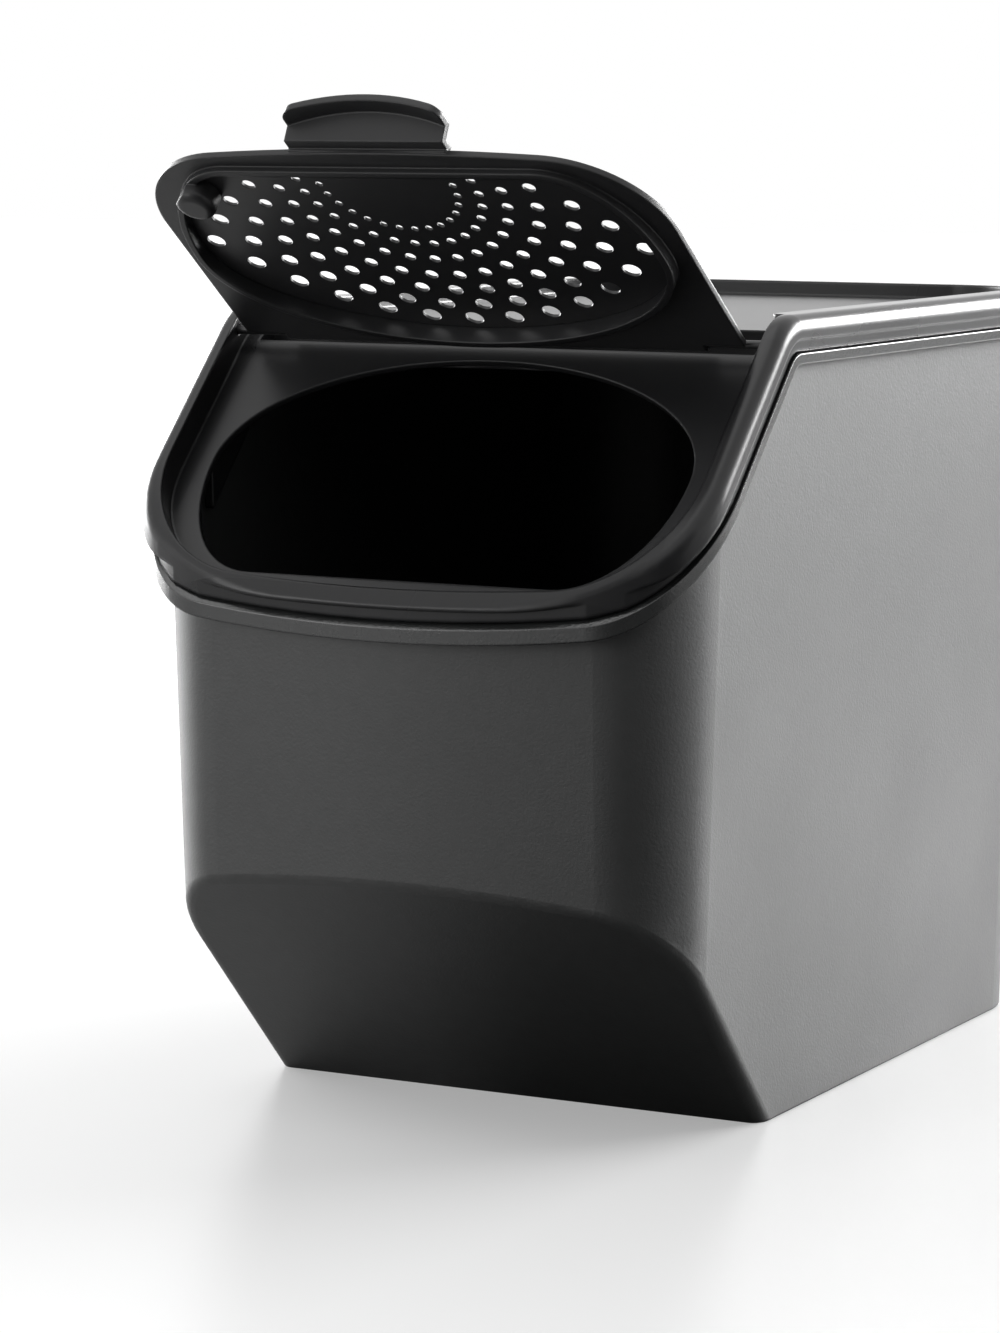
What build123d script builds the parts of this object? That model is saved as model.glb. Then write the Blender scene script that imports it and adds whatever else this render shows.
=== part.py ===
from build123d import *
import os
from math import cos, radians, sin, tan

# A potato storage bin: a tall open container with a sloping mouth at the front, a lift-off
# lid that follows the slope, and a ventilated flap hinged on the lid.
# Millimetres.  X is left to right, -Y is the front, Z is up.  The origin is the middle of
# the flat underside, which stands on the table.

# Container
base_length = 183.4        # flat underside, front to rear
top_length = 254.6         # outside of the walls at the flange, front to rear
top_width = 152.0          # outside of the walls at the flange
flange_height = 190.5      # underside of the flange above the table, on the level part
slope_length = 62.1        # sloping part of the flange, front to rear; the rest is level
slope_angle = 45.0         # of the mouth, below level
bend_radius = 6.0          # of the flange's underside where slope and level meet
draft_angle = 1.7          # every wall leans out by this much
front_radius = 26.0        # upright front corners, at the flange
rear_radius = 32.0
front_bow = 6.0            # the front bulges by this much in its middle
wall = 2.2
floor = 2.4
toe_angle = 46.0           # the toe face under the front wall, above level
toe_rounding = 4.0         # between the toe face and the front wall
base_rounding = 0.8        # around the underside
flange_overhang = 3.5      # beyond the walls, all round
rim_front_reach = 0.3      # the line of the lid's rim lies this much in front of the walls
rim_front_radius = 596.0   # middle of the rim's front, on that line
rim_front_turn = 3.0       # it turns by this much to each side
rim_shoulder_radius = 116.0
rim_shoulder_turn = 18.0
flange_thickness = 2.6

# Lid
parting_gap = 0.8          # shadow gap between the flange and the lid
band_height = 2.6          # narrow band at the foot of the lid's rim, level with the flange
band_overhang = 2.9        # beyond the walls
rim_overhang = 3.7         # rim above the band, beyond its own line
crest_height = 12.0        # top of the rim above the flange's underside
crest_rounding = 4.0
lid_wall = 1.8
panel_drop_slope = 7.0     # sloping panel below the crest
panel_drop_level = 4.1     # level panel below the crest
slope_rim_width = 5.3      # rim beside the sloping panel
recess_reach = 79.95       # front of the recess, down the slope from the hinge
recess_bow = 5.5           # its front bulges by this much in its middle
recess_corner = 34.0       # its front corners
level_rim_width = 9.7      # rim beside the level panel
rear_rim_width = 8.5       # rim behind it
level_panel_radius = 26.0
roll_start = 26.8          # the crest starts to roll down this far behind the lid's front
roll_front_height = 57.5   # front end of the crest below the level part of the flange
trough_behind_hinge = 3.1  # front wall of the channel between the two panels
trough_length = 8.0
trough_inset = 4.4         # its ends lie this far inside the sloping panel's sides
trough_floor = 1.3         # its floor below the flange's underside
step_rounding = 3.5        # rim corners where the sloping recess narrows to the level one
plug_depth = 8.0           # skirt inside the container's mouth
plug_clearance = 0.5
plug_wall = 2.2
plug_front = 34.0          # the skirt starts this far behind the lid's front

# Mouth in the sloping panel: a half ellipse towards the hinge, rounded corners at the front
mouth_half_width = 66.5
mouth_corner_width = 25.0
mouth_margin = 4.4         # panel in front of the mouth, and from its rear edge to the hinge

# Flap
hinge_behind_bend = -7.8   # hinge axis behind the flange's bend
hinge_height = 5.0         # hinge axis above the level part of the flange's underside
open_angle = 81.6          # from closed to the position shown
leaf_gap = 0.35            # between the leaf's free edge and the recess around it
leaf_half_width = 70.0
leaf_corner = 28.0
leaf_thickness = 1.6
leaf_root = 1.9            # edge of the leaf beside the pins, from the axis
barrel_radius = 1.9        # the leaf's underside lies tangent to the barrel
barrel_half_length = 59.0
collar_clearance = 1.2     # between the collar and the mouth
collar_height = 5.0        # at the hinge
collar_front_height = 1.7  # at the free edge
collar_wall = 1.8
vent_thickness = 0.8
vent_ledge = 1.0           # width of the collar's top face that carries the vent panel
vent_fit = 0.1
boss_place = (-52.7, 64.3)  # round boss in one corner of the collar
boss_radius = 5.2
boss_height = 6.0          # below the leaf's underside
boss_rounding = 2.0
tab_half_width = 21.3
tab_foot = 2.8             # the tab's foot reaches this far past the leaf's free edge
tab_crease_reach = 4.4     # crease under the lip, past the leaf's free edge
tab_crease_height = 7.5    # crease above the leaf's top, in the middle
tab_arch_height = 3.6      # its ends are this much lower
tab_lip = 4.4
tab_thickness = 1.8
tab_corner = 3.0

# Vent holes: rows on ever flatter arcs about a plain area at the free edge
row_holes = [15, 16, 17, 16, 15, 14, 13]
row_radius = [18.2, 23.9, 30.3, 38.2, 48.0, 58.6, 71.7]
row_lowest = [49.3, 43.1, 36.7, 29.8, 23.5, 17.3, 11.3]  # lowest hole, from the hinge axis
first_hole = 2.0           # diameter
hole_growth = 0.48         # per row
first_pitch = 4.06
pitch_growth = 1.26        # per row

# Hinge pins
pin_radius = 1.1
pin_grip = 10.0            # length held in the leaf's barrel
pin_clearance = 0.06       # radial, in the lid
pin_past_wall = 0.5

# Derived places
rear_y = base_length / 2 + flange_height * tan(radians(draft_angle))
front_y = rear_y - top_length
bend_y = front_y + slope_length
half_width = top_width / 2
half_turn = tan(radians(slope_angle / 2))
cos_slope = cos(radians(slope_angle))
sin_slope = sin(radians(slope_angle))
lid_foot = flange_thickness + parting_gap
band_top = lid_foot + band_height
roof = crest_height - lid_wall
slope_panel = crest_height - panel_drop_slope
level_panel = crest_height - panel_drop_level
seat = slope_panel - lid_wall
recess_half_width = half_width + rim_overhang - slope_rim_width
level_half_width = half_width + rim_overhang - level_rim_width
level_rear_y = rear_y + rim_overhang - rear_rim_width
hinge_y = bend_y + hinge_behind_bend
hinge_z = flange_height + hinge_height
hinge_rise = (hinge_z - flange_height) * cos_slope - (hinge_y - bend_y) * sin_slope
mouth_middle = recess_reach / 2
mouth_reach = mouth_middle - mouth_margin
leaf_top = leaf_thickness - barrel_radius
leaf_reach = recess_reach - leaf_gap
leaf_bow = recess_bow * (leaf_half_width / recess_half_width) ** 2
trough_front_y = hinge_y + trough_behind_hinge
trough_rear_y = trough_front_y + trough_length
far = top_length + top_width


def wall_outline(plane, outset):
    """Outline of the container's walls at the flange, grown by outset."""
    bowed_y = front_y + front_bow
    with BuildSketch(plane) as sketch:
        with BuildLine():
            Polyline((-half_width, bowed_y), (-half_width, rear_y),
                     (half_width, rear_y), (half_width, bowed_y))
            ThreePointArc((half_width, bowed_y), (0, front_y), (-half_width, bowed_y))
        make_face()
        fillet(sketch.vertices().group_by(Axis.Y)[0], front_radius)
        fillet(sketch.vertices().group_by(Axis.Y)[-1], rear_radius)
        if outset:
            offset(amount=outset)
    return sketch.sketch


def rim_outline(outset):
    """Outline of the lid's rim: a flat arc, shoulders and tight corners at the front."""
    turned = radians(rim_front_turn)
    turned_shoulder = radians(rim_front_turn + rim_shoulder_turn)
    middle_x = rim_front_radius * sin(turned)
    middle_y = front_y - rim_front_reach + rim_front_radius * (1 - cos(turned))
    shoulder_x = middle_x + rim_shoulder_radius * (sin(turned_shoulder) - sin(turned))
    corner_radius = (half_width - shoulder_x) / (1 - sin(turned_shoulder))
    with BuildSketch() as sketch:
        with BuildLine():
            middle = ThreePointArc((-middle_x, middle_y), (0, front_y - rim_front_reach),
                                   (middle_x, middle_y))
            shoulder = JernArc(middle @ 1, middle % 1, rim_shoulder_radius, rim_shoulder_turn)
            corner = JernArc(shoulder @ 1, shoulder % 1, corner_radius,
                             90 - rim_front_turn - rim_shoulder_turn)
            mirror([shoulder, corner], about=Plane.YZ)
            side_y = (corner @ 1).Y
            Polyline((half_width, side_y), (half_width, rear_y),
                     (-half_width, rear_y), (-half_width, side_y))
        make_face()
        fillet(sketch.vertices().group_by(Axis.Y)[-1], rear_radius)
        offset(amount=outset)
    return sketch.sketch


def upright(outline, height):
    """Prism with upright walls over a plan outline."""
    with BuildPart() as prism:
        extrude(outline, amount=height)
    return prism.part


def rim_prism(outset):
    """Upright prism over the outline of the lid's rim, grown by outset."""
    return upright(rim_outline(outset), 2 * flange_height)


def wall_prism(outset):
    """Upright prism over the outline of the container's walls at the flange, grown by outset."""
    return upright(wall_outline(Plane.XY, outset), 2 * flange_height)


def drafted(inset, low, high):
    """Prism whose sides lean out like the container's walls, set in from their outside."""
    lean = (low - flange_height) * tan(radians(draft_angle))
    with BuildPart() as prism:
        outline = wall_outline(Plane.XY.offset(low), lean - inset)
        extrude(outline, amount=high - low, taper=-draft_angle)
    return prism.part


def below(rise):
    """Everything under the flange's line moved up by rise: slope, bend and level part."""
    turn_y = bend_y - rise * half_turn
    turn_z = flange_height + rise
    foot_z = turn_z - far * tan(radians(slope_angle))
    with BuildPart() as block:
        with BuildSketch(Plane.YZ) as side:
            with BuildLine():
                Polyline((turn_y - far, foot_z), (turn_y, turn_z), (far, turn_z),
                         (far, foot_z), close=True)
            make_face()
            if bend_radius + rise > 0:
                fillet(side.vertices().sort_by_distance((turn_y, turn_z))[0], bend_radius + rise)
        extrude(amount=far, both=True)
    return block.part


def below_crest():
    """Everything under the top of the lid's rim, which rolls down at the front."""
    turn_y = bend_y - crest_height * half_turn
    turn_z = flange_height + crest_height
    end_y = front_y - rim_front_reach - rim_overhang
    end_z = flange_height - roll_front_height
    start_y = end_y + roll_start
    start_z = turn_z - (turn_y - start_y) * tan(radians(slope_angle))
    with BuildPart() as block:
        with BuildSketch(Plane.YZ) as side:
            with BuildLine():
                slope = Line((turn_y, turn_z), (start_y, start_z))
                roll = TangentArc((start_y, start_z), (end_y, end_z), tangent=slope % 1)
                Polyline(roll @ 1, (end_y - far, end_z - far), (far, end_z - far),
                         (far, turn_z), (turn_y, turn_z))
            make_face()
            fillet(side.vertices().sort_by_distance((turn_y, turn_z))[0],
                   bend_radius + crest_height)
        extrude(amount=far, both=True)
    return block.part


def behind(y):
    """Everything behind an upright plane across the bin."""
    with BuildPart() as block:
        with BuildSketch(Plane.XZ.offset(-y)):
            Rectangle(2 * far, 2 * far)
        extrude(amount=-far)
    return block.part


def slope_plane():
    """Plane through the hinge axis along the slope: x across, y down the slope, z into the bin."""
    return Plane(origin=(0, hinge_y, hinge_z), x_dir=(1, 0, 0), z_dir=(0, sin_slope, -cos_slope))


def swung_plane():
    """The slope plane swung about the hinge axis with the flap, as far as it is shown open."""
    swing = radians(slope_angle - open_angle)
    return Plane(origin=(0, hinge_y, hinge_z), x_dir=(1, 0, 0), z_dir=(0, sin(swing), -cos(swing)))


def bowed_outline(half, low, high, bow, corner):
    """Rectangle whose far side bulges by bow and has rounded corners."""
    with BuildSketch() as sketch:
        with BuildLine():
            Polyline((half, high - bow), (half, low), (-half, low), (-half, high - bow))
            ThreePointArc((-half, high - bow), (0, high), (half, high - bow))
        make_face()
        fillet(sketch.vertices().group_by(Axis.Y)[-1], corner)
    return sketch.sketch


def recess_outline(outset):
    """Outline of the recess the flap closes into; it runs on behind the hinge."""
    reach = recess_reach + outset
    return bowed_outline(recess_half_width + outset, -reach, reach, recess_bow,
                         recess_corner + outset)


def mouth_outline(inset):
    """Outline of the mouth: half an ellipse towards the hinge, rounded corners at the front."""
    half = mouth_half_width - inset
    corner = mouth_corner_width - inset
    reach = mouth_reach - inset
    corner_x = half - corner
    with BuildSketch() as sketch:
        with BuildLine():
            EllipticalCenterArc((0, mouth_middle), half, reach, 180, arc_size=180)
            EllipticalCenterArc((corner_x, mouth_middle), corner, reach, 0, arc_size=90)
            Line((corner_x, mouth_middle + reach), (-corner_x, mouth_middle + reach))
            EllipticalCenterArc((-corner_x, mouth_middle), corner, reach, 90, arc_size=90)
        make_face()
    return sketch.sketch


def level_outline(outset):
    """Plan of the recess over the level panel."""
    length = level_rear_y - trough_rear_y
    with BuildSketch() as sketch:
        with Locations((0, trough_rear_y + length / 2)):
            Rectangle(2 * level_half_width, length)
        fillet(sketch.vertices().group_by(Axis.Y)[-1], level_panel_radius)
        if outset:
            offset(amount=outset)
    return sketch.sketch


def slab(plane, outline, low, high):
    """Outline on a plane, thickened from low to high along the plane's normal."""
    with BuildPart() as block:
        with BuildSketch(plane.offset(low)):
            add(outline)
        extrude(amount=high - low)
    return block.part


# ---- Container ------------------------------------------------------------------------
def toe_wedge(thickness):
    """The wedge missing under the front wall, moved inwards by thickness."""
    edge_y = -base_length / 2 + thickness / sin(radians(toe_angle))
    rise = far * tan(radians(toe_angle))
    with BuildPart() as wedge:
        with BuildSketch(Plane.YZ):
            with BuildLine():
                Polyline((edge_y + far, -rise), (edge_y - far, rise), (edge_y - far, -rise),
                         close=True)
            make_face()
        extrude(amount=far, both=True)
    return wedge.part


wall_top = flange_height + roof
step_y = trough_rear_y + lid_wall + parting_gap

with BuildPart() as inside:
    # the hollow, with the inner side of the toe face
    add(drafted(wall, floor, 2 * wall_top))
    add(toe_wedge(wall), mode=Mode.SUBTRACT)
    toe_face = inside.faces().sort_by(Axis.Z)[1]
    fillet(toe_face.edges().sort_by(Axis.Z)[1:], toe_rounding - wall)

with BuildPart() as bin_body:
    # drafted outside with the toe face, rounded into the walls and around the underside
    add(drafted(0, 0, wall_top))
    add(toe_wedge(0), mode=Mode.SUBTRACT)
    toe_face = bin_body.faces().sort_by(Axis.Z)[1]
    fillet(toe_face.edges().sort_by(Axis.Z)[1:], toe_rounding)
    fillet(bin_body.faces().sort_by(Axis.Z)[0].edges(), base_rounding)
    # the mouth: lower where the sloping panel rests, higher under the level rim
    with BuildPart(mode=Mode.PRIVATE) as low_edge:
        add(below(seat))
        add(behind(step_y))
    add(low_edge.part, mode=Mode.INTERSECT)
    # flange below the lid
    with BuildPart(mode=Mode.PRIVATE) as flange:
        add(wall_prism(flange_overhang))
        add(below(flange_thickness), mode=Mode.INTERSECT)
        add(below(0), mode=Mode.SUBTRACT)
    add(flange.part)
    add(inside.part, mode=Mode.SUBTRACT)
bin_body.part.label = "bin_body"

# ---- Lid ------------------------------------------------------------------------------
level_base = flange_height + level_panel

with BuildPart() as envelope:
    # the lid's outside: upright sides, the crest rolled down at the front and rounded
    add(rim_prism(rim_overhang))
    add(below_crest(), mode=Mode.INTERSECT)
    crest = envelope.faces().filter_by(lambda face: face.normal_at().Z > 0.1)
    sides = envelope.faces().filter_by(lambda face: abs(face.normal_at().Z) < 0.01)
    rim_edges = [edge for edge in crest.edges() if edge in sides.edges()]
    fillet(rim_edges, crest_rounding)

with BuildPart() as channel:
    # hollow under the rim, open downwards; the front of the rim is solid
    add(rim_prism(rim_overhang - lid_wall))
    add(below(roof), mode=Mode.INTERSECT)
    add(behind(front_y + plug_front), mode=Mode.INTERSECT)

with BuildPart() as trays:
    # the sloping and the level panel with the walls standing around them
    add(slab(slope_plane(), recess_outline(lid_wall), -far, far))
    add(behind(trough_rear_y + lid_wall), mode=Mode.SUBTRACT)
    add(below(seat), mode=Mode.SUBTRACT)
    add(slab(Plane.XY, level_outline(lid_wall), level_base - lid_wall, level_base + crest_height))

with BuildPart() as plug:
    # skirt that centres the lid in the container, beside and behind the mouth
    add(drafted(wall + plug_clearance, floor, 2 * wall_top))
    add(drafted(wall + plug_clearance + plug_wall, floor, 2 * wall_top), mode=Mode.SUBTRACT)
    add(behind(front_y + plug_front), mode=Mode.INTERSECT)
    add(below(-plug_depth), mode=Mode.SUBTRACT)
    add(below(roof), mode=Mode.INTERSECT)

with BuildPart() as recesses:
    # everything open to the sky: above the sloping panel, above the level panel
    add(slab(slope_plane(), recess_outline(0), -far, far))
    add(behind(trough_rear_y), mode=Mode.SUBTRACT)
    add(below(slope_panel), mode=Mode.SUBTRACT)
    add(slab(Plane.XY, level_outline(0), level_base, level_base + crest_height))
    steps = recesses.edges().filter_by(Axis.Z).filter_by(
        lambda edge: abs(abs(edge.center().X) - level_half_width) < 0.01
        and abs(edge.center().Y - trough_rear_y) < 0.01)
    fillet(steps, step_rounding)

trough_half = recess_half_width - trough_inset
trough_base = flange_height - trough_floor
trough_middle = trough_front_y + trough_length / 2
pin_reach = recess_half_width + lid_wall + pin_past_wall

with BuildPart() as lid:
    add(envelope.part)
    add(below(lid_foot), mode=Mode.SUBTRACT)
    add(channel.part, mode=Mode.SUBTRACT)
    add(trays.part)
    add(envelope.part, mode=Mode.INTERSECT)
    # trough behind the hinge
    with Locations((0, trough_middle, trough_base - lid_wall)):
        Box(2 * (trough_half + lid_wall), trough_length + 2 * lid_wall, level_base - trough_base,
            align=(Align.CENTER, Align.CENTER, Align.MIN))
    add(plug.part)
    add(recesses.part, mode=Mode.SUBTRACT)
    with Locations((0, trough_middle, trough_base)):
        Box(2 * trough_half, trough_length, crest_height + trough_floor,
            align=(Align.CENTER, Align.CENTER, Align.MIN), mode=Mode.SUBTRACT)
    # narrower band at the rim's foot
    with BuildPart(mode=Mode.PRIVATE) as band_groove:
        add(rim_prism(rim_overhang + 1))
        add(wall_prism(band_overhang), mode=Mode.SUBTRACT)
        add(below(band_top), mode=Mode.INTERSECT)
    add(band_groove.part, mode=Mode.SUBTRACT)
    # the mouth, and a hole for each hinge pin in the recess's side walls
    add(slab(slope_plane(), mouth_outline(0), 0, hinge_rise), mode=Mode.SUBTRACT)
    with BuildSketch(Plane.YZ.offset(-pin_reach)):
        with Locations((hinge_y, hinge_z)):
            Circle(pin_radius + pin_clearance)
    extrude(amount=2 * pin_reach, mode=Mode.SUBTRACT)
lid.part.label = "lid"


def across_point(down, up):
    """Side view point beside the hinge: down along the leaf, and up across it."""
    swing = radians(slope_angle - open_angle)
    return (hinge_y - down * cos(swing) - up * sin(swing),
            hinge_z - down * sin(swing) + up * cos(swing))


# ---- Flap, shown open -----------------------------------------------------------------
leaf_plane = swung_plane()
crease = (leaf_reach + tab_crease_reach, leaf_top + tab_crease_height)
lip_plane = Plane(origin=(0, *across_point(*crease)), x_dir=(1, 0, 0), z_dir=leaf_plane.y_dir)


def arch(rise):
    """Arc across the tab, raised above the crease under the lip."""
    low = rise - tab_arch_height
    return ThreePointArc((-tab_half_width, low), (0, rise), (tab_half_width, low))


with BuildPart() as tab_arch:
    # everything under the arched top of the tab
    with BuildSketch(lip_plane):
        with BuildLine():
            top = arch(tab_thickness)
            Polyline(top @ 1, (tab_half_width, -far), (-tab_half_width, -far), top @ 0)
        make_face()
    extrude(amount=far, both=True)

with BuildPart() as tab:
    # arched lip with rounded outer corners
    with BuildSketch(lip_plane.offset(-tab_thickness)):
        with BuildLine():
            top = arch(tab_thickness)
            underside = arch(0)
            Line(top @ 0, underside @ 0)
            Line(top @ 1, underside @ 1)
        make_face()
    extrude(amount=tab_lip + tab_thickness)
    ends = tab.edges().filter_by(GeomType.LINE).filter_by(Axis((0, 0, 0), lip_plane.y_dir))
    fillet(ends.sort_by(Axis(lip_plane.origin, lip_plane.z_dir))[-2:], tab_corner)
    # foot over the rim and riser up to the lip
    foot = leaf_reach + tab_foot
    slant = (tab_crease_reach - tab_foot) / tab_crease_height
    peak = 2 * tab_crease_height
    with BuildPart(mode=Mode.PRIVATE) as riser:
        with BuildSketch(Plane.YZ.offset(-tab_half_width)):
            profile = [(leaf_reach - tab_thickness, leaf_top - leaf_thickness / 2),
                       (leaf_reach, leaf_top - leaf_thickness / 2),
                       (leaf_reach, leaf_top),
                       (foot, leaf_top),
                       (foot + slant * peak, leaf_top + peak),
                       (foot + slant * peak - tab_thickness, leaf_top + peak),
                       (foot + slant * tab_thickness - tab_thickness, leaf_top + tab_thickness),
                       (leaf_reach - tab_thickness, leaf_top + tab_thickness)]
            with BuildLine():
                Polyline([across_point(*corner) for corner in profile], close=True)
            make_face()
        extrude(amount=2 * tab_half_width)
        add(tab_arch.part, mode=Mode.INTERSECT)
    add(riser.part)

with BuildPart() as boss:
    # round boss hanging below the leaf, no wider than the collar
    with BuildSketch(leaf_plane.offset(barrel_radius)):
        with Locations(boss_place):
            Circle(boss_radius)
    extrude(amount=boss_height)
    rims = boss.edges().sort_by(Axis(leaf_plane.origin, leaf_plane.z_dir))
    fillet(rims[-1], boss_rounding)
    add(slab(leaf_plane, mouth_outline(collar_clearance), barrel_radius,
             barrel_radius + boss_height), mode=Mode.INTERSECT)

with BuildPart() as flap:
    # the leaf, the collar under it and the barrel on the hinge axis
    with BuildSketch(leaf_plane.offset(-leaf_top)):
        add(bowed_outline(leaf_half_width, leaf_root, leaf_reach, leaf_bow, leaf_corner))
        with Locations((0, leaf_root / 2)):
            Rectangle(2 * barrel_half_length, leaf_root)
    extrude(amount=leaf_thickness)
    add(slab(leaf_plane, mouth_outline(collar_clearance), -leaf_top, barrel_radius + collar_height))
    add(slab(leaf_plane, mouth_outline(collar_clearance + collar_wall), -far, far),
        mode=Mode.SUBTRACT)
    # the collar grows lower from the hinge to the free edge
    with BuildPart(mode=Mode.PRIVATE) as collar_cut:
        with BuildSketch(Plane.YZ):
            profile = [(mouth_middle - mouth_reach, -barrel_radius - collar_height),
                       (mouth_middle + mouth_reach, -barrel_radius - collar_front_height),
                       (mouth_middle + mouth_reach, -far),
                       (mouth_middle - mouth_reach, -far)]
            with BuildLine():
                Polyline([across_point(*corner) for corner in profile], close=True)
            make_face()
        extrude(amount=mouth_half_width, both=True)
    add(collar_cut.part, mode=Mode.SUBTRACT)
    add(boss.part)
    # seat of the vent panel, open to the leaf's top
    add(slab(leaf_plane, mouth_outline(collar_clearance + collar_wall - vent_ledge),
             -leaf_top, barrel_radius), mode=Mode.SUBTRACT)
    with BuildSketch(Plane.YZ.offset(-barrel_half_length)):
        with Locations((hinge_y, hinge_z)):
            Circle(barrel_radius)
    extrude(amount=2 * barrel_half_length)
    add(tab.part)
    # a hole for each pin
    with BuildSketch(Plane.YZ.offset(-pin_reach)):
        with Locations((hinge_y, hinge_z)):
            Circle(pin_radius)
    extrude(amount=pin_reach - barrel_half_length + pin_grip, mode=Mode.SUBTRACT)
    with BuildSketch(Plane.YZ.offset(pin_reach)):
        with Locations((hinge_y, hinge_z)):
            Circle(pin_radius)
    extrude(amount=barrel_half_length - pin_grip - pin_reach, mode=Mode.SUBTRACT)
flap.part.label = "flap"

with BuildPart() as vent_panel:
    # thin perforated panel level with the leaf's underside, resting on the collar's top face
    add(slab(leaf_plane, mouth_outline(collar_clearance + collar_wall - vent_ledge + vent_fit),
             barrel_radius - vent_thickness, barrel_radius))
    for row, count in enumerate(row_holes):
        radius = row_radius[row]
        middle_y = row_lowest[row] + radius
        step = (first_pitch + pitch_growth * row) / radius
        with BuildSketch(leaf_plane.offset(barrel_radius - vent_thickness)):
            for place in range(count):
                turn = (place - (count - 1) / 2) * step
                with Locations((radius * sin(turn), middle_y - radius * cos(turn))):
                    Circle((first_hole + hole_growth * row) / 2)
        extrude(amount=vent_thickness, mode=Mode.SUBTRACT)
vent_panel.part.label = "vent_panel"


def hinge_pin(side):
    """Pin held in one end of the flap's barrel, turning in the lid's recess wall."""
    with BuildPart() as pin:
        with BuildSketch(Plane.YZ.offset(side * (barrel_half_length - pin_grip))):
            with Locations((hinge_y, hinge_z)):
                Circle(pin_radius)
        extrude(amount=side * (pin_reach - barrel_half_length + pin_grip))
    return pin.part


hinge_pin_left = hinge_pin(-1)
hinge_pin_left.label = "hinge_pin_left"
hinge_pin_right = hinge_pin(1)
hinge_pin_right.label = "hinge_pin_right"

os.makedirs("parts", exist_ok=True)
for piece in (bin_body.part, lid.part, flap.part, vent_panel.part, hinge_pin_left, hinge_pin_right):
    export_step(piece, f"parts/{piece.label}.step")
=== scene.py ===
import math
import bpy
from mathutils import Matrix, Vector

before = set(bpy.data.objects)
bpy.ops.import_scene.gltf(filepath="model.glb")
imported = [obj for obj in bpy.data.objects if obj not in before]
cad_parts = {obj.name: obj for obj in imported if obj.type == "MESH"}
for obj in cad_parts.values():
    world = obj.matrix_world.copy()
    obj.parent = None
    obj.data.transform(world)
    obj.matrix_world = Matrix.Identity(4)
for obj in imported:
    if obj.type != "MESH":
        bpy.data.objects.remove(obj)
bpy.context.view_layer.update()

bpy.ops.object.select_all(action="DESELECT")
scene = bpy.context.scene

# ---- Container
# One tall injection-moulded shell in dark anthracite plastic, flange and floor in the same shot.
# Its outside comes from a fine spark-eroded tool, so it is satin and very slightly grained, and
# the tool is polished round the flange, which is smoother than the walls.


def moulded_surface():
    """Node group: the tool's fine grain, its coarser tumble, and a big moulding's slow drift."""
    group = bpy.data.node_groups.new("moulded_surface", "ShaderNodeTree")
    for name in ("Grain Scale", "Tumble Scale", "Drift Scale"):
        group.interface.new_socket(name, in_out="INPUT", socket_type="NodeSocketFloat")
    for name in ("Grain", "Tumble", "Drift"):
        group.interface.new_socket(name, in_out="OUTPUT", socket_type="NodeSocketFloat")
    inside = group.nodes.new("NodeGroupInput")
    outside = group.nodes.new("NodeGroupOutput")
    place = group.nodes.new("ShaderNodeTexCoord")
    grades = (("Grain", 2.0, 0.6), ("Tumble", 3.0, 0.55), ("Drift", 1.0, 0.5))
    for name, detail, roughness in grades:
        noise = group.nodes.new("ShaderNodeTexNoise")
        noise.inputs["Detail"].default_value = detail
        noise.inputs["Roughness"].default_value = roughness
        group.links.new(place.outputs["Object"], noise.inputs["Vector"])
        group.links.new(inside.outputs[name + " Scale"], noise.inputs["Scale"])
        group.links.new(noise.outputs["Fac"], outside.inputs[name])
    return group


surface_group = moulded_surface()


def moulded_plastic(name, shade, paler, polish, grain_scale, grain_depth, edge_radius, specular):
    """Moulded plastic: two close shades, a roughness range, grain as relief and eased edges."""
    material = bpy.data.materials.new(name)
    material.use_nodes = True
    nodes = material.node_tree.nodes
    links = material.node_tree.links
    plastic = nodes["Principled BSDF"]
    plastic.inputs["IOR"].default_value = 1.5
    plastic.inputs["Specular IOR Level"].default_value = specular

    surface = nodes.new("ShaderNodeGroup")
    surface.node_tree = surface_group
    surface.inputs["Grain Scale"].default_value = grain_scale
    surface.inputs["Tumble Scale"].default_value = 260.0
    surface.inputs["Drift Scale"].default_value = 16.0

    tint = nodes.new("ShaderNodeMix")
    tint.data_type = "RGBA"
    tint.inputs["A"].default_value = (*shade, 1.0)
    tint.inputs["B"].default_value = (*paler, 1.0)
    links.new(surface.outputs["Tumble"], tint.inputs["Factor"])
    links.new(tint.outputs["Result"], plastic.inputs["Base Color"])

    sheen = nodes.new("ShaderNodeMapRange")
    sheen.inputs["From Min"].default_value = 0.3
    sheen.inputs["From Max"].default_value = 0.7
    sheen.inputs["To Min"].default_value = polish[0]
    sheen.inputs["To Max"].default_value = polish[1]
    links.new(surface.outputs["Drift"], sheen.inputs["Value"])
    links.new(sheen.outputs["Result"], plastic.inputs["Roughness"])

    edge = nodes.new("ShaderNodeBevel")
    edge.samples = 8
    edge.inputs["Radius"].default_value = edge_radius
    relief = nodes.new("ShaderNodeBump")
    relief.inputs["Strength"].default_value = 1.0
    relief.inputs["Distance"].default_value = grain_depth
    links.new(surface.outputs["Grain"], relief.inputs["Height"])
    links.new(edge.outputs["Normal"], relief.inputs["Normal"])
    links.new(relief.outputs["Normal"], plastic.inputs["Normal"])
    return material


def finish_node(name, material):
    """Gives a CAD node its finish."""
    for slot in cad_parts[name].material_slots:
        slot.material = material


def work_out(tree, operation, *feeds):
    """One step of sums on values that change over a surface, or on plain numbers."""
    node = tree.nodes.new("ShaderNodeMath")
    node.operation = operation
    for socket, feed in zip(node.inputs, feeds):
        if isinstance(feed, float):
            socket.default_value = feed
        else:
            tree.links.new(feed, socket)
    return node.outputs["Value"]


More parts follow.
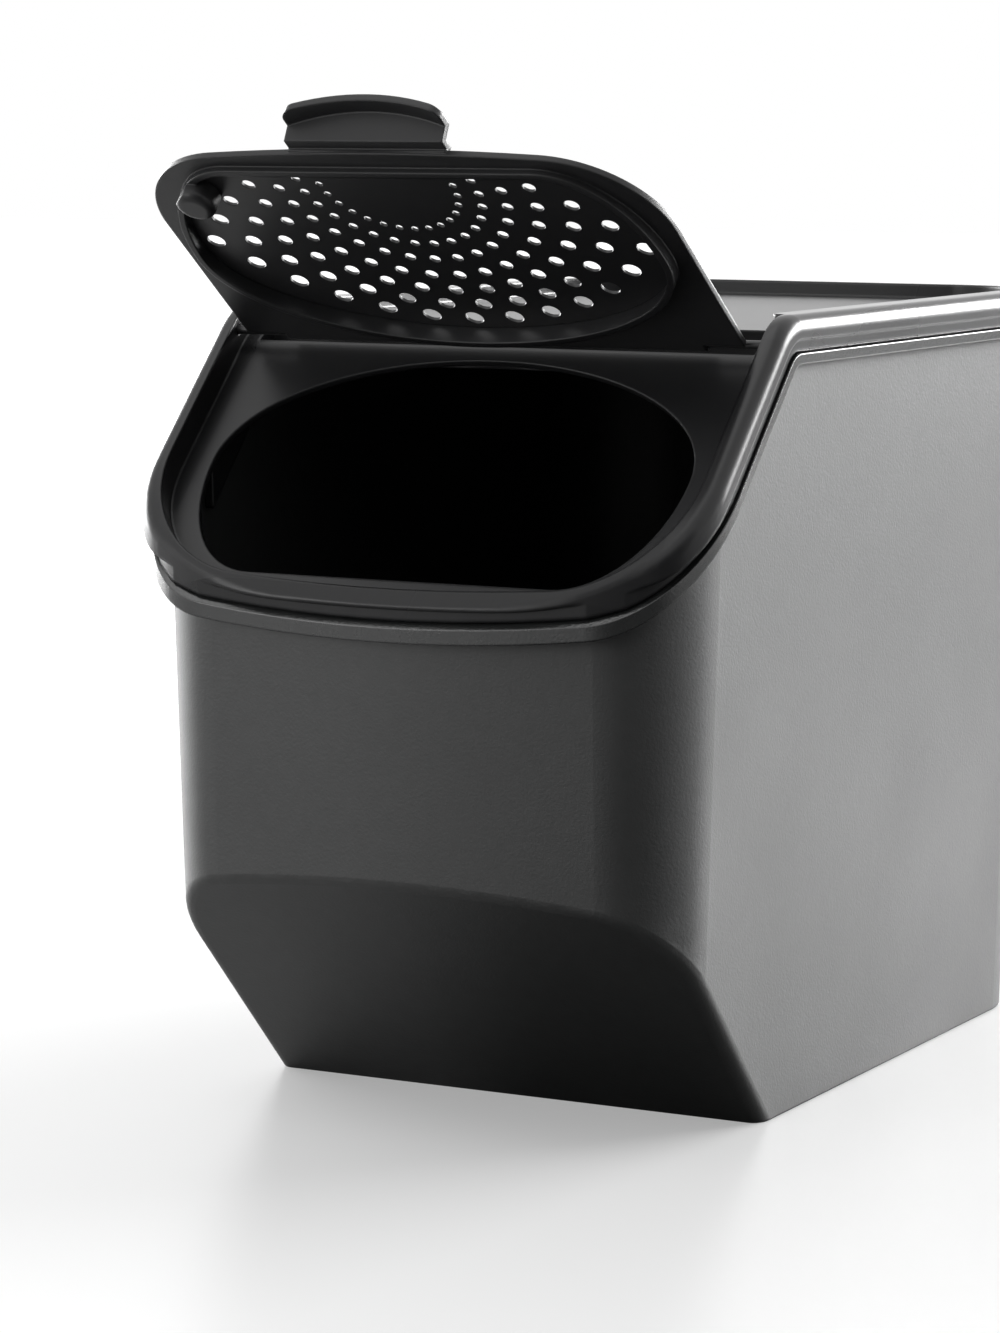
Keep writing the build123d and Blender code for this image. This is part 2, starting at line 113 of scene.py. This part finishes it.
def along(tree, place, way):
    """How far each point lies along a direction."""
    node = tree.nodes.new("ShaderNodeVectorMath")
    node.operation = "DOT_PRODUCT"
    node.inputs[1].default_value = way
    tree.links.new(place, node.inputs[0])
    return node.outputs["Value"]


def change_polish(material, where, roughness):
    """Gives the material another roughness where the mask is 1."""
    tree = material.node_tree
    polish = tree.nodes["Principled BSDF"].inputs["Roughness"]
    change = tree.nodes.new("ShaderNodeMix")
    change.inputs["B"].default_value = roughness
    tree.links.new(polish.links[0].from_socket, change.inputs["A"])
    tree.links.new(where, change.inputs["Factor"])
    tree.links.new(change.outputs["Result"], polish)


bin_plastic = moulded_plastic(
    "bin_plastic", shade=(0.018, 0.019, 0.019), paler=(0.032, 0.033, 0.033), polish=(0.44, 0.52),
    grain_scale=1300.0, grain_depth=0.00006, edge_radius=0.0005, specular=0.9)
finish_node("bin_body", bin_plastic)

# the flange is all that lies above its underside, on its level part and on its sloping part
level_foot = 0.1903        # height of the underside
sloping_foot = 0.28525     # height plus the distance forward
flange_roughness = 0.20
bin_tree = bin_plastic.node_tree
bin_place = bin_tree.nodes.new("ShaderNodeTexCoord").outputs["Object"]
above_level = work_out(
    bin_tree, "GREATER_THAN", along(bin_tree, bin_place, (0.0, 0.0, 1.0)), level_foot)
above_slope = work_out(
    bin_tree, "GREATER_THAN", along(bin_tree, bin_place, (0.0, -1.0, 1.0)), sloping_foot)
flange = work_out(bin_tree, "MAXIMUM", above_level, above_slope)
change_polish(bin_plastic, flange, flange_roughness)

# ---- Lid
# A second moulding in near-black plastic from a smoother tool, with the recess, the mouth and the
# trough behind the hinge in the same shot. The rolled rim has a soft gloss; the panels are matter.
lid_plastic = moulded_plastic(
    "lid_plastic", shade=(0.012, 0.012, 0.013), paler=(0.018, 0.018, 0.019), polish=(0.25, 0.31),
    grain_scale=1100.0, grain_depth=0.000012, edge_radius=0.0010, specular=0.40)
finish_node("lid", lid_plastic)

# the panels lie inside the rim's side walls, rear wall and front wall
panel_side = 0.0698        # from the middle
panel_rear = 0.0923
panel_front = 0.0143       # down the slope
panel_roughness = 0.38
down_slope = (0.0, -0.7071, -0.7071)
lid_tree = lid_plastic.node_tree
lid_place = lid_tree.nodes.new("ShaderNodeTexCoord").outputs["Object"]
aside = work_out(lid_tree, "ABSOLUTE", along(lid_tree, lid_place, (1.0, 0.0, 0.0)))
panels = work_out(lid_tree, "LESS_THAN", aside, panel_side)
for way, limit in (((0.0, 1.0, 0.0), panel_rear), (down_slope, panel_front)):
    within = work_out(lid_tree, "LESS_THAN", along(lid_tree, lid_place, way), limit)
    panels = work_out(lid_tree, "MULTIPLY", panels, within)
change_polish(lid_plastic, panels, panel_roughness)

# ---- Flap
# The hinged flap, with its collar, boss and finger tab, in the lid's plastic. Its wide flat
# leaf keeps a little more of the tool's texture than the rolled rim does.
flap_plastic = moulded_plastic(
    "flap_plastic", shade=(0.013, 0.013, 0.014), paler=(0.019, 0.019, 0.020), polish=(0.36, 0.42),
    grain_scale=1200.0, grain_depth=0.000016, edge_radius=0.0007, specular=0.45)
finish_node("flap", flap_plastic)

# ---- Vent panel
# Thin perforated insert seated in the flap. The punch-side edge of each moulded hole is eased,
# so a thin light line shows round it.
vent_plastic = moulded_plastic(
    "vent_plastic", shade=(0.013, 0.013, 0.014), paler=(0.019, 0.019, 0.020), polish=(0.36, 0.42),
    grain_scale=1200.0, grain_depth=0.000014, edge_radius=0.0003, specular=0.5)
finish_node("vent_panel", vent_plastic)

# ---- Hinge pins
# Two short plain rods pressed into the ends of the flap's barrel, turning in the lid's walls.
# They are rubbed a little smoother than the mouldings around them.
pin_plastic = moulded_plastic(
    "pin_plastic", shade=(0.016, 0.016, 0.017), paler=(0.024, 0.024, 0.025), polish=(0.32, 0.40),
    grain_scale=2000.0, grain_depth=0.000010, edge_radius=0.0002, specular=0.5)
finish_node("hinge_pin_left", pin_plastic)
finish_node("hinge_pin_right", pin_plastic)

# ---- Floor
# A wide smooth white table top. It keeps the bin's soft shadow and a blurred reflection, and a
# painted glow, seen by the camera alone and weaker near the bin, runs it out to plain white, so no
# edge shows behind the bin.
front_way = (0.50, -0.866, 0.0)    # to the front right corner of the room, on the level


def dim_in_front(tree, way, dimmest):
    """Falls from 1 to dimmest in the dark front corner of the room."""
    dimming = tree.nodes.new("ShaderNodeMapRange")
    dimming.interpolation_type = "SMOOTHSTEP"
    dimming.inputs["From Min"].default_value = 0.70
    dimming.inputs["From Max"].default_value = 0.93
    dimming.inputs["To Min"].default_value = 1.0
    dimming.inputs["To Max"].default_value = dimmest
    tree.links.new(along(tree, way, front_way), dimming.inputs["Value"])
    return dimming.outputs["Result"]


bpy.ops.mesh.primitive_plane_add(size=14.0, location=(0.0, 0.0, 0.0))
floor = bpy.context.active_object
floor.name = "floor"
floor_white = bpy.data.materials.new("floor_white")
floor_white.use_nodes = True
floor_tree = floor_white.node_tree
floor_nodes = floor_tree.nodes
floor_links = floor_tree.links
table = floor_nodes["Principled BSDF"]
table.inputs["IOR"].default_value = 1.45
table.inputs["Specular IOR Level"].default_value = 0.3
table.inputs["Roughness"].default_value = 0.35
# strength of the floor's painted glow, set below for the camera alone
table.inputs["Emission Strength"].default_value = 1.0

# one white for the light that it passes on, another for what is looked at or mirrored
floor_rays = floor_nodes.new("ShaderNodeLightPath").outputs
mirrored = work_out(
    floor_tree, "MAXIMUM", floor_rays["Is Glossy Ray"], floor_rays["Is Transmission Ray"])
looked_at = work_out(floor_tree, "MAXIMUM", floor_rays["Is Camera Ray"], mirrored)
floor_shade = floor_nodes.new("ShaderNodeMix")
floor_shade.data_type = "RGBA"
floor_shade.inputs["A"].default_value = (0.70, 0.70, 0.70, 1.0)
floor_shade.inputs["B"].default_value = (0.44, 0.44, 0.44, 1.0)
floor_links.new(looked_at, floor_shade.inputs["Factor"])

# painted shade: in front of the bin the floor is darker in reflections and in the light that it
# passes on, in place of a dark corner of the room, while the camera sees it at full tone
floor_place = floor_nodes.new("ShaderNodeTexCoord").outputs["Object"]
floor_way = floor_nodes.new("ShaderNodeVectorMath")
floor_way.operation = "NORMALIZE"
floor_links.new(floor_place, floor_way.inputs[0])
painted_front_shade = dim_in_front(floor_tree, floor_way.outputs["Vector"], 0.12)
table_level = work_out(floor_tree, "MAXIMUM", painted_front_shade, floor_rays["Is Camera Ray"])
floor_tone = floor_nodes.new("ShaderNodeVectorMath")
floor_tone.operation = "SCALE"
floor_links.new(floor_shade.outputs["Result"], floor_tone.inputs[0])
floor_links.new(table_level, floor_tone.inputs["Scale"])
floor_links.new(floor_tone.outputs["Vector"], table.inputs["Base Color"])

# painted glow, for the camera alone: weak near the bin, where it deepens the bin's shadow, and
# rising to plain white further out
run_out = floor_nodes.new("ShaderNodeVectorMath")
run_out.operation = "LENGTH"
floor_links.new(floor_place, run_out.inputs[0])
painted_glow_ramp = floor_nodes.new("ShaderNodeMapRange")
painted_glow_ramp.interpolation_type = "SMOOTHSTEP"
painted_glow_ramp.inputs["From Min"].default_value = 0.20
painted_glow_ramp.inputs["From Max"].default_value = 0.80
painted_glow_ramp.inputs["To Min"].default_value = 0.33
painted_glow_ramp.inputs["To Max"].default_value = 0.75
floor_links.new(run_out.outputs["Value"], painted_glow_ramp.inputs["Value"])
glow = work_out(floor_tree, "MULTIPLY", painted_glow_ramp.outputs["Result"], floor_rays["Is Camera Ray"])
floor_links.new(glow, table.inputs["Emission Color"])
floor.data.materials.append(floor_white)
bpy.ops.object.select_all(action="DESELECT")

# ---- Studio light
# A plain white room with one dark corner in front, plain white where it is looked at, with soft
# boxes at the right rear, the right, the rear, the left, the front left and overhead.
world = bpy.data.worlds.new("studio")
scene.world = world
world.use_nodes = True
room_tree = world.node_tree
room = room_tree.nodes["Background"]
room.inputs["Color"].default_value = (1.0, 1.0, 1.0, 1.0)
room_rays = room_tree.nodes.new("ShaderNodeLightPath").outputs
room_level = room_tree.nodes.new("ShaderNodeMapRange")
room_level.inputs["To Min"].default_value = 0.60
room_level.inputs["To Max"].default_value = 1.0
room_tree.links.new(room_rays["Is Glossy Ray"], room_level.inputs["Value"])
room_way = room_tree.nodes.new("ShaderNodeTexCoord").outputs["Generated"]
room_light = work_out(
    room_tree, "MULTIPLY", room_level.outputs["Result"], dim_in_front(room_tree, room_way, 0.10))
for ray in ("Is Camera Ray", "Is Transmission Ray"):
    room_light = work_out(room_tree, "MAXIMUM", room_light, room_rays[ray])
room_tree.links.new(room_light, room.inputs["Strength"])

box_aim = Vector((0.0, -0.03, 0.12))


def soft_box(name, place, width, height, radiance):
    """Rectangular lamp facing the bin, of the given brightness per unit of its area."""
    lamp = bpy.data.lights.new(name, "AREA")
    lamp.shape = "RECTANGLE"
    lamp.size = width
    lamp.size_y = height
    lamp.energy = radiance * math.pi * width * height
    box = bpy.data.objects.new(name, lamp)
    facing = (box_aim - Vector(place)).to_track_quat("-Z", "Y").to_matrix().to_4x4()
    box.matrix_world = Matrix.Translation(place) @ facing
    scene.collection.objects.link(box)


soft_box("right_rear_box", (0.95, 1.60, 0.68), 1.6, 0.6, 22.0)
soft_box("right_box", (1.80, 0.70, 0.60), 0.9, 0.7, 0.6)
soft_box("rear_box", (-0.92, 1.70, 0.42), 0.9, 0.45, 0.9)
soft_box("left_box", (-1.70, 0.60, 0.42), 1.5, 0.75, 11.0)
soft_box("front_fill", (-1.05, -1.6, 0.55), 0.7, 0.6, 3.0)
soft_box("overhead_box", (-0.3, -0.3, 1.9), 1.4, 1.4, 0.8)

# ---- Camera
# Stands to the front right, a little above the bin, at the photograph's viewing angle and with
# its long lens: the frame cuts the bin's rear off.
view_from = Vector((0.50515, -1.05627, 0.25281))
turn = math.radians(27.83)
dip = math.radians(7.406)
roll = math.radians(0.096)
forward = Vector((-math.sin(turn) * math.cos(dip), math.cos(turn) * math.cos(dip), -math.sin(dip)))
level_right = Vector((math.cos(turn), math.sin(turn), 0.0))
level_up = level_right.cross(forward)
right = level_right * math.cos(roll) + level_up * math.sin(roll)
up = level_up * math.cos(roll) - level_right * math.sin(roll)
frame_height = 1333.0      # of the photograph, in its pixels
view_distance = 4315.0     # of the picture plane, in the same pixels
camera_data = bpy.data.cameras.new("camera")
camera_data.sensor_fit = "VERTICAL"
camera_data.sensor_height = 36.0
camera_data.lens = view_distance / frame_height * camera_data.sensor_height
camera_data.clip_end = 20.0
camera = bpy.data.objects.new("camera", camera_data)
camera.matrix_world = Matrix((
    (right.x, up.x, -forward.x, view_from.x),
    (right.y, up.y, -forward.y, view_from.y),
    (right.z, up.z, -forward.z, view_from.z),
    (0.0, 0.0, 0.0, 1.0)))
scene.collection.objects.link(camera)
scene.camera = camera
scene.view_settings.view_transform = "Standard"
